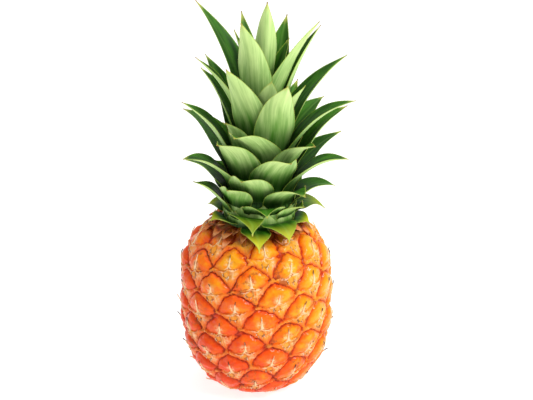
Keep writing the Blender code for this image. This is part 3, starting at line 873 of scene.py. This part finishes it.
def stem_material():
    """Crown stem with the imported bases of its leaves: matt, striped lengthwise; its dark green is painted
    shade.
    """
    material, shader, put, at = new_material("green_crown_stem")
    lines = grain(put, at.place, 2.0 * MM, 3.0, 0.6, (1.0, 1.0, 12.0))
    feed(shader, {"Base Color": put("mix", put("fade", lines, 0.3, 0.7), "#123c08", "#4c7c2a"),
                  "Roughness": 0.7, "Normal": put("relief", lines, 0.4 * MM, 0.6)})
    return material


# --------------------------------------------------------------------- leaves

# Waves along a blade's margins, then how much thinner it is at its margins and its tip
WAVER_HEIGHT, WAVER_PHASES, WAVER_COUNTS = 0.25 * MM, (0.0, 6.28), (1.6, 2.6)
WAVER_SHIFT, WAVER_RANGE = 1.3, (0.15, 0.45)
MARGIN_THINNER, TIP_THINNER = 0.72, 0.55

# The collar of leaf bases: rows and columns of a leaf's grid, then how many and how far they climb
COLLAR_GRID, COLLAR_LEAVES, COLLAR_AGE = (12, 13), 26, 0.2
COLLAR_HALF_WIDTH, COLLAR_THICKNESS = 12.0 * MM, 0.5 * MM
COLLAR_TURN, COLLAR_FOOT, COLLAR_CLIMB = math.radians(20.0), 0.6, 9.0


def stem_radius(height):
    share = min(max(height / STEM_LENGTH, 0.0), 1.0)
    return mix(STEM_TIP_RADIUS, STEM_RADIUS, (1.0 - share ** 1.5) ** 0.8)


class Leaf:
    """One crown leaf: a bent line from the stem to its tip, with a width along it."""

    def __init__(self, number):
        self.number, self.age = number, number / (LEAVES - 1)
        t = self.age
        turn, reach, rise, width = GROWN_ASIDE.get(number, (0, 0, 0, 1.0))
        self.turn = FIRST_LEAF_TURN - GOLDEN_TURN * number
        self.turn_aside = math.radians(turn)
        root_z = mix(LEAF_ROOT_LOW, LEAF_ROOT_HIGH, t ** ROOTS_CLIMB)
        root_r = stem_radius(root_z) + LEAF_THICKNESS
        spread = TIP_SPREAD + TIP_SPREAD_MORE * math.sin(math.pi * t / SPREAD_PEAK)
        tip_r = spread * math.sqrt(1.0 - HEART_CLOSING * t ** HEART_POWER) + reach * MM
        tip_z = mix(LEAF_TIP_LOW, LEAF_TIP_HIGH, t ** TIPS_CLIMB) + rise * MM
        self.start = ROOT_SLOPE_LOW + ROOT_SLOPE_MORE * math.sqrt(t)
        self.start -= ROOT_DROOP * (1.0 - ease(*DROOP_RANGE, t))
        full_width = LEAF_HALF_WIDTH + MIDWAY_WIDER * math.sin(math.pi * t)
        self.half_width = (full_width - HEART_NARROWER * t ** 4) * width
        self.root_clasp = ROOT_CLASP if t < HEART_FROM else HEART_CLASP
        self.taper = mix(LOW_TAPER, HIGH_TAPER, ease(*TAPER_RANGE, t))
        self.line = self.bent_line(root_r, root_z, tip_r, tip_z)
        runs = np.hypot(np.diff(self.line[:, 0]), np.diff(self.line[:, 1]))
        self.length = float(runs.sum())

    def bent_line(self, root_r, root_z, tip_r, tip_z):
        """Rows of radius, height and slope: the line bends more and more, and ends at the tip."""
        aim = math.atan2(tip_z - root_z, tip_r - root_r)
        low, high = 0.0, MOST_BEND
        while high - low > 0.0001:
            bend = (low + high) / 2.0
            unit = self.unit_line(bend)
            if math.atan2(unit[-1][1], unit[-1][0]) > aim:
                low = bend
            else:
                high = bend
        size = math.hypot(tip_r - root_r, tip_z - root_z) / math.hypot(*unit[-1][:2])
        return np.array([(root_r + x * size, root_z + y * size, slope) for x, y, slope in unit])

    def unit_line(self, bend):
        line = [(0.0, 0.0, self.start)]
        for step in range(1, SPINE_STEPS + 1):
            slope = self.start - bend * ((step - 0.5) / SPINE_STEPS) ** BENDING_POWER
            x = line[-1][0] + math.cos(slope) / SPINE_STEPS
            y = line[-1][1] + math.sin(slope) / SPINE_STEPS
            line.append((x, y, self.start - bend * (step / SPINE_STEPS) ** BENDING_POWER))
        return line

    def grid(self, s, across):
        """Points of the blade's middle surface over arrays s (rows) and across (columns)."""
        share = np.linspace(0.0, 1.0, SPINE_STEPS + 1)
        r, z, slope = (np.interp(s, share, self.line[:, k])[:, None] for k in range(3))
        rising = mix(ROOT_SHARE, 1.0, ease(0.0, WIDEST_AT, s))
        past = np.clip((s - WIDEST_AT) / (1.0 - WIDEST_AT), 0.0, 1.0)
        wide = np.where(s < WIDEST_AT, rising, (1.0 - past ** POINTING_POWER) ** self.taper)
        wide = self.half_width * np.maximum(wide, TIP_SHARE)
        clasp = mix(self.root_clasp, WIDEST_CLASP, ease(*CLASP_RANGE, s))
        half = np.minimum(wide[:, None], clasp[:, None] * r)
        fold = CHANNEL_DEPTH * ease(*CHANNEL_RANGE, s)[:, None] * half * np.abs(across) ** CHANNEL_POWER
        r_in, z_in = r - fold * np.sin(slope), z + fold * np.cos(slope)
        turn = self.turn + self.turn_aside * ease(*ASIDE_RANGE, s)[:, None] + across * half / r
        return ring_points(r_in, turn, z_in), half


def crown_place(points):
    """Crown coordinates to the part's own."""
    rotation = np.array(Euler((0.0, CROWN_LEAN, 0.0)).to_matrix())
    return points @ rotation.T + np.array(CROWN_SEAT)


HALF_ACROSS = (0.14, 0.34, 0.56, 0.76, 0.9, 0.965, 1.0)
ACROSS = np.array([*(-a for a in reversed(HALF_ACROSS)), 0.0, *HALF_ACROSS])
MIDRIB = len(HALF_ACROSS)


def blade_surfaces(leaf, s):
    """Middle surface, outward direction, thickness and half width of a blade, in the part's frame."""
    s, from_midrib = s[:, None], np.abs(ACROSS)[None, :]
    middle, half = leaf.grid(s[:, 0], ACROSS[None, :])
    middle = crown_place(middle)
    out = np.cross(np.gradient(middle, axis=1), np.gradient(middle, axis=0))
    out /= np.linalg.norm(out, axis=2, keepdims=True)
    draw = np.random.default_rng(100 + leaf.number)
    phase, waves = draw.uniform(*WAVER_PHASES), draw.uniform(*WAVER_COUNTS)
    waver = WAVER_HEIGHT * np.sin(waves * FULL_TURN * s + phase + WAVER_SHIFT * np.sign(ACROSS)[None, :])
    middle = middle + out * (waver * ease(*WAVER_RANGE, s) * from_midrib ** 2.0)[..., None]
    thick = LEAF_THICKNESS * (1.0 - MARGIN_THINNER * from_midrib ** 3) * (1.0 - TIP_THINNER * s ** 3)
    return middle, out, thick, half


def leaf_values(inner, s, across, half, tint, young, length_mm):
    """What the leaf material reads at the points of one face of a blade."""
    values = {"inner": inner, "along": s, "across_mm": across * half / MM,
              "edge_mm": (1.0 - np.abs(across)) * half / MM,
              "tint": tint, "young": young, "length_mm": s * length_mm}
    shape = np.broadcast(s, across).shape
    return {key: np.broadcast_to(value, shape).ravel() for key, value in values.items()}


def build_leaf(number, settings):
    """A blade with an outer and an inner face, thick in the middle and thin at its margins."""
    leaf = Leaf(number)
    s = np.linspace(0.0, 1.0, settings.rows)
    middle, out, thick, half = blade_surfaces(leaf, s)
    faces = [middle + out * (side * thick / 2.0)[..., None] for side in (1.0, -1.0)]
    tint = np.random.default_rng(300 + number).uniform(0.0, 1.0)
    values = [leaf_values(inner, s[:, None], ACROSS[None, :], half, tint, leaf.age, leaf.length / MM)
              for inner in (0.0, 1.0)]
    return mesh_object(f"crown_leaf_{number + 1:02d}", np.concatenate([f.reshape(-1, 3) for f in faces]),
                       sheet_faces(len(s), len(ACROSS)), joined(values))


def build_collar(name="leaf_bases"):
    """Short leaf bases that hug the foot of the stem behind the lowest leaves."""
    rows, columns = COLLAR_GRID
    draw = np.random.default_rng(41)
    s, across = np.linspace(0.0, 1.0, rows)[:, None], np.linspace(-1.0, 1.0, columns)[None, :]
    half = COLLAR_HALF_WIDTH * (1.0 - s ** 1.7) ** 1.3 + 0.1 * MM
    points, faces, values = [], [], []
    for number in range(COLLAR_LEAVES):
        tall, tint = draw.uniform(10.0, 14.0), draw.uniform(0.0, 1.0)
        height = (COLLAR_FOOT + COLLAR_CLIMB * number / COLLAR_LEAVES + tall * s) * MM
        hug = np.array([[stem_radius(h)] for h in height[:, 0]]) + (1.0 + 2.6 * s ** 2) * MM
        turn = FIRST_LEAF_TURN + COLLAR_TURN - GOLDEN_TURN * number
        for inner in (0.0, 1.0):
            r = hug - COLLAR_THICKNESS * inner
            points.append(crown_place(ring_points(r, turn + across * half / r, height)).reshape(-1, 3))
            values.append(leaf_values(inner, s, across, half, tint, COLLAR_AGE, tall))
        faces.append(sheet_faces(rows, columns) + number * 2 * rows * columns)
    return mesh_object(name, np.concatenate(points), np.concatenate(faces), joined(values))


def leaf_material(settings):
    """Crown leaf: tough cuticle. Outside, a pale powdery wax broken into fine lengthwise lines;
    inside, bare satin green. A yellow-green margin line and dry tips on the older leaves."""
    material, shader, put, at = new_material("waxy_crown_leaf", "across_mm", "edge_mm", "along", "length_mm",
                                             "tint", "young", "inner")
    # Veins run lengthwise, about 1.2 mm apart
    veins_at = put("combine", at.across_mm, put("divide", at.length_mm, 44.0), put("multiply", at.tint, 60.0))
    veins = put("noise", veins_at, 1.0, 3.0, 0.6)
    cloud_at = put("combine", put("divide", at.across_mm, 4.5), put("divide", at.length_mm, 32.0),
                   put("multiply", at.tint, 90.0))
    cloud = put("noise", cloud_at, 1.0, 3.0)
    wax = put("add", put("multiply", veins, 0.28), put("multiply", cloud, 0.55))
    wax = put("add", wax, put("fade", at.along, 0.1, 0.9, -0.14, 0.16))
    wax = put("fade", wax, 0.11, 0.70)
    outer = put("mix", wax, settings.outer, settings.bloom)
    inner = put("mix", put("fade", cloud, 0.3, 0.7), settings.inner, "#427c18")
    # The lowest leaves turn yellow-green
    old = product(put, put("fade", at.young, 0.22, 0.02), put("fade", at.along, 0.32, 0.85))
    ragged = put("add", at.along, put("multiply", put("subtract", veins, 0.5), 0.16))
    base = layered(put, outer, (at.inner, inner),
                   # painted shade: darker towards each leaf's base, where the leaves overlap
                   (put("fade", at.along, 0.46, 0.06, 0.0, 0.92), settings.shade), (old, "#d6d42a"),
                   # paler along the midrib: partly its own colour, partly a painted highlight
                   (put("fade", put("absolute", at.across_mm), 1.6, 0.2, 0.0, 0.15), "#8fbf5a"),
                   (put("fade", at.edge_mm, 0.7, 0.2, 0.0, 0.6), settings.margin),
                   (put("fade", ragged, 0.9, 0.98, 0.0, 0.6), "#cdc860"),
                   (put("fade", ragged, 0.97, 1.01, 0.0, 0.9), settings.dry))
    height = put("add", veins, put("multiply", cloud, 2.0))
    feed(shader, {"Base Color": base, "IOR": 1.45, "Specular IOR Level": 0.3,
                  "Roughness": put("add", put("multiply", wax, 0.22), 0.36, use_clamp=True),
                  "Normal": put("relief", height, 0.35 * MM, 0.4)})
    return material


# ---------------------------------------------------------------------- teeth

TOOTH_FROM, TOOTH_TO, TOOTH_STEPS = 0.14, 0.95, 40  # where teeth stand along a leaf
TOOTH_RADIUS, TOOTH_SIDES, TOOTH_FORWARD, TOOTH_SIZES = 0.2 * MM, 5, 0.9, (0.6, 1.2)


def unit(vectors):
    return vectors / np.linalg.norm(vectors, axis=1, keepdims=True)


def margin_lines(name):
    """Both margins of every leaf as polylines, with the way that the teeth point."""
    points, edges, ways = [], [], []
    s = np.linspace(TOOTH_FROM, TOOTH_TO, TOOTH_STEPS)
    for number in range(LEAVES):
        middle = blade_surfaces(Leaf(number), s)[0]
        for line in (middle[:, 0], middle[:, -1]):
            away, forward = unit(line - middle[:, MIDRIB]), unit(np.gradient(line, axis=0))
            edges.extend((k, k + 1) for k in range(len(points), len(points) + TOOTH_STEPS - 1))
            points.extend(line)
            ways.extend(unit(away + TOOTH_FORWARD * forward))
    return mesh_object(name, points, vectors={"way": ways}, edges=edges)


def teeth_tree(material):
    """Small cones at even gaps along every margin."""
    tree, put, given = growth_tree("Teeth on margins", Spacing="Float", Length="Float", Radius="Float",
                                   Seed="Int")
    spread = put("spread", put("curve", given["Geometry"]), given["Spacing"])
    cone = put("cone", TOOTH_SIDES, 0.0, given["Radius"], given["Length"])
    turn = put("align", put("vector", "way"))
    teeth = put("real", put("copies", spread, cone, turn, put("vary", *TOOTH_SIZES, given["Seed"])))
    put("outputs", put("dress", teeth, material))
    return tree


def tooth_material(settings):
    """Marginal teeth: hard, dry and glassy, yellow-green at the foot."""
    material, shader, put, at = new_material("leaf_tooth")
    share = put("fade", grain(put, at.place, 8 * MM), 0.35, 0.65)
    feed(shader, {"Base Color": put("mix", share, settings.margin, "#d9b25c"), "Roughness": 0.45})
    return material


# ----------------------------------------------------------------------- neck

SCALE_KINDS, SCALE_ROWS, SCALE_ACROSS = 4, 8, (-1.0, -0.55, 0.0, 0.55, 1.0)
# Rings of dry scales: radius and height in millimetres, degrees of the tips from upright, count
NECK_RINGS = ((35.0, 134.0, 122.0, 10), (31.5, 136.5, 110.0, 15), (27.5, 138.5, 96.0, 12))


def scale_shape(name, draw):
    """A dry neck scale: a pointed strip that curls outwards, closed all round."""
    tall, wide, curl = draw.uniform(8.0, 12.0), draw.uniform(3.6, 5.4), draw.uniform(-1.0, 2.0)
    points, along = [], []
    for depth in (0.0, 0.5):
        for t in (k / (SCALE_ROWS - 1) for k in range(SCALE_ROWS)):
            half = wide * (1.0 - t ** 1.5) + 0.25
            for a in SCALE_ACROSS:
                z = curl * t * t - 2.2 * a * a * (1.0 - 0.5 * t) - depth
                points.append((a * half * MM, tall * t * MM, z * MM))
                along.append(t)
    return mesh_object(name, points, sheet_faces(SCALE_ROWS, len(SCALE_ACROSS)), {"along": along})


def neck_points(name, draw):
    """Places of the dry scales round the neck, in staggered rings."""
    points, facing, stretch = [], [], []
    for ring, (r, z, tip_out, count) in enumerate(NECK_RINGS):
        for k in range(count):
            turn = FULL_TURN * (k + 0.5 * ring + draw.uniform(-0.2, 0.2)) / count
            spin = draw.uniform(-0.3, 0.3)
            tip = math.radians(tip_out + draw.uniform(-12.0, 14.0))
            right = Vector((math.cos(turn), math.sin(turn), 0.0))
            out = Vector((math.sin(turn), -math.cos(turn), 0.0))
            rise = out * math.sin(tip) + Vector((0.0, 0.0, math.cos(tip)))
            points.append(out * r * MM + Vector((0.0, 0.0, z * MM + draw.uniform(-1.0, 1.0) * MM)))
            facing.append(facing_of(right, rise, right.cross(rise), spin))
            size = draw.uniform(0.75, 1.1)
            stretch.append((size, size * draw.uniform(0.8, 1.15), size))
    return mesh_object(name, points, vectors={"facing": facing, "stretch": stretch})


def scale_tree(material, shapes):
    """A scale at every point of the neck."""
    tree, put, given = growth_tree("Scales on neck", Seed="Int")
    put("outputs", put("dress", put("smooth", scattered(put, given, shapes)), material))
    return tree


def scale_material():
    """Dry neck scales: dead bracts, orange at the foot and brown towards the point."""
    material, shader, put, at = new_material("dry_neck_scale", "along")
    mottle = put("multiply", put("subtract", grain(put, at.place, 4 * MM, 4.0), 0.5), 0.9)
    base = put("ramp", put("add", at.along, mottle),
               stops=((0.02, "#8a2c0a"), (0.30, "#f0803a"), (0.70, "#ffb47c"), (0.98, "#b8683a")))
    feed(shader, {"Base Color": base, "Roughness": 0.65,
                  "Normal": put("relief", grain(put, at.place, 1.0 * MM, 4.0), 0.3 * MM, 0.6)})
    return material


def build_scales(name="neck_scales"):
    draw = np.random.default_rng(17)
    shapes = [scale_shape(f"scale_kind_{k}", draw) for k in range(SCALE_KINDS)]
    return grow(neck_points(name, draw), scale_tree(scale_material(), shapes), {"Seed": 2}, shapes)


# ---------------------------------------------------------------------- stage

WHITE = (1.0, 1.0, 1.0, 1.0)
FLOOR_REACH = 12.0
LIGHTS_AIM = (0.0, 0.0, 0.17)
CAMERA_AIM = Vector((8.1 * MM, 0.0, 153.7 * MM))
SENSOR_WIDTH = 36.0
KEY_PLACE, KEY_SIZE = (0.75, -0.62, 0.95), 0.42
# Soft lights: name, place, size and power
SOFT_LIGHTS = (("top", (0.1, 0.1, 1.5), 1.6, 8.0), ("back", (0.3, 1.0, 1.0), 0.8, 2.0))


def aim(thing, place, target):
    thing.location = place
    thing.rotation_euler = (Vector(target) - Vector(place)).to_track_quat("-Z", "Y").to_euler()


def area_light(name, place, size, power):
    lamp = bpy.data.lights.new(name, "AREA")
    lamp.shape, lamp.size, lamp.energy = "DISK", size, power
    aim(placed(name, lamp), place, LIGHTS_AIM)


def floor_material():
    """Top of a light table: matt white acrylic, lit from below, with a very faint tooth."""
    material, shader, put, at = new_material("white_light_table")
    feed(shader, {"Base Color": put("mix", grain(put, at.place, 1.5 * MM), "#b6b6b4", "#bababa"),
                  "Roughness": 0.9, "Emission Color": WHITE, "Emission Strength": 0.8})
    return material


def build_stage(settings):
    scene = bpy.context.scene
    corners = [(x * FLOOR_REACH, y * FLOOR_REACH, 0.0) for x, y in ((-1, -1), (1, -1), (1, 1), (-1, 1))]
    floor = mesh_object("floor", corners, [(0, 1, 2, 3)])
    floor.data.materials.append(floor_material())
    world = bpy.data.worlds.new("studio")
    world.use_nodes = True
    feed(world.node_tree.nodes["Background"], {"Color": WHITE, "Strength": 0.5})
    scene.world = world
    for light in (("key", KEY_PLACE, KEY_SIZE, settings.key_power), *SOFT_LIGHTS):
        area_light(*light)
    camera = placed("camera", bpy.data.cameras.new("camera"))
    camera.data.lens, camera.data.sensor_width = settings.lens, SENSOR_WIDTH
    back = Vector((0.0, -math.cos(settings.elevation), math.sin(settings.elevation)))
    aim(camera, CAMERA_AIM + back * settings.distance, CAMERA_AIM)
    scene.camera = camera
    scene.view_settings.view_transform = "Standard"


# ------------------------------------------------------------------ operators

class PINEAPPLE_OT_rind(bpy.types.Operator):
    """Grow the rind with its eyes"""
    bl_idname = "pineapple.rind"
    bl_label = "Rind"

    def execute(self, context):
        settings = context.scene.pineapple_rind
        hand_over(build_rind(settings), "fruit_skin", "fruit_body", material=rind_material(settings))
        return {"FINISHED"}


class PINEAPPLE_OT_spines(bpy.types.Operator):
    """Lay a spine, its lips and its shreds on every eye"""
    bl_idname = "pineapple.spines"
    bl_label = "Spines"

    def execute(self, context):
        spines = build_spines(bpy.data.objects["rind"], context.scene.pineapple_rind)
        hand_over(spines, "fruit_skin")
        return {"FINISHED"}


class PINEAPPLE_OT_stalk(bpy.types.Operator):
    """Make the cut end of the stalk"""
    bl_idname = "pineapple.stalk"
    bl_label = "Cut stalk"

    def execute(self, context):
        hand_over(build_stalk(), "cut_stalk", "stalk_end", material=stalk_material())
        return {"FINISHED"}


class PINEAPPLE_OT_stem(bpy.types.Operator):
    """Finish the stem inside the crown"""
    bl_idname = "pineapple.stem"
    bl_label = "Crown stem"

    def execute(self, context):
        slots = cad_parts["crown_stem"].data.materials
        slots.clear()
        slots.append(stem_material())
        return {"FINISHED"}


class PINEAPPLE_OT_leaves(bpy.types.Operator):
    """Grow the leaves of the crown"""
    bl_idname = "pineapple.leaves"
    bl_label = "Crown leaves"

    def execute(self, context):
        settings = context.scene.pineapple_crown
        material = leaf_material(settings)
        for number in range(LEAVES):
            leaf = build_leaf(number, settings)
            hand_over(leaf, "crown_leaf", f"leaf_{number + 1:02d}", material=material)
        hand_over(build_collar(), "crown_leaf", material=material)
        return {"FINISHED"}


class PINEAPPLE_OT_teeth(bpy.types.Operator):
    """Set the fine teeth along the leaves' margins"""
    bl_idname = "pineapple.teeth"
    bl_label = "Leaf teeth"

    def execute(self, context):
        settings = context.scene.pineapple_crown
        teeth = grow(margin_lines("leaf_teeth"), teeth_tree(tooth_material(settings)),
                     {"Spacing": settings.tooth_gap, "Length": settings.tooth_length,
                      "Radius": TOOTH_RADIUS, "Seed": 7})
        hand_over(teeth, "crown_leaf")
        return {"FINISHED"}


class PINEAPPLE_OT_neck(bpy.types.Operator):
    """Set the dry scales between fruit and crown"""
    bl_idname = "pineapple.neck"
    bl_label = "Neck scales"

    def execute(self, context):
        hand_over(build_scales(), "fruit_skin")
        return {"FINISHED"}


class PINEAPPLE_OT_stage(bpy.types.Operator):
    """Set up floor, lights and camera"""
    bl_idname = "pineapple.stage"
    bl_label = "Stage"

    def execute(self, context):
        build_stage(context.scene.pineapple_stage)
        return {"FINISHED"}


GROUPS = {"pineapple_rind": RindSettings, "pineapple_crown": CrownSettings,
          "pineapple_stage": StageSettings}
OPERATORS = (PINEAPPLE_OT_stage, PINEAPPLE_OT_rind, PINEAPPLE_OT_spines, PINEAPPLE_OT_stalk,
             PINEAPPLE_OT_stem, PINEAPPLE_OT_leaves, PINEAPPLE_OT_teeth, PINEAPPLE_OT_neck)


class PINEAPPLE_PT_panel(bpy.types.Panel):
    """The pineapple's pieces and their settings"""
    bl_idname = "PINEAPPLE_PT_panel"
    bl_label = "Pineapple"
    bl_space_type = "VIEW_3D"
    bl_region_type = "UI"
    bl_category = "Pineapple"

    def draw(self, context):
        column = self.layout.column()
        for operator in OPERATORS:
            column.operator(operator.bl_idname)
        for key, kind in GROUPS.items():
            for name in kind.__annotations__:
                column.prop(getattr(context.scene, key), name)


CLASSES = (*GROUPS.values(), *OPERATORS, PINEAPPLE_PT_panel)


def register():
    for kind in CLASSES:
        bpy.utils.register_class(kind)
    for key, kind in GROUPS.items():
        setattr(bpy.types.Scene, key, PointerProperty(type=kind))


def unregister():
    for key in GROUPS:
        delattr(bpy.types.Scene, key)
    for kind in reversed(CLASSES):
        bpy.utils.unregister_class(kind)


def main():
    register()
    bpy.ops.pineapple.stage()
    bpy.ops.pineapple.rind()
    bpy.ops.pineapple.spines()
    bpy.ops.pineapple.stalk()
    bpy.ops.pineapple.stem()
    bpy.ops.pineapple.leaves()
    bpy.ops.pineapple.teeth()
    bpy.ops.pineapple.neck()


if __name__ == "__main__":
    main()
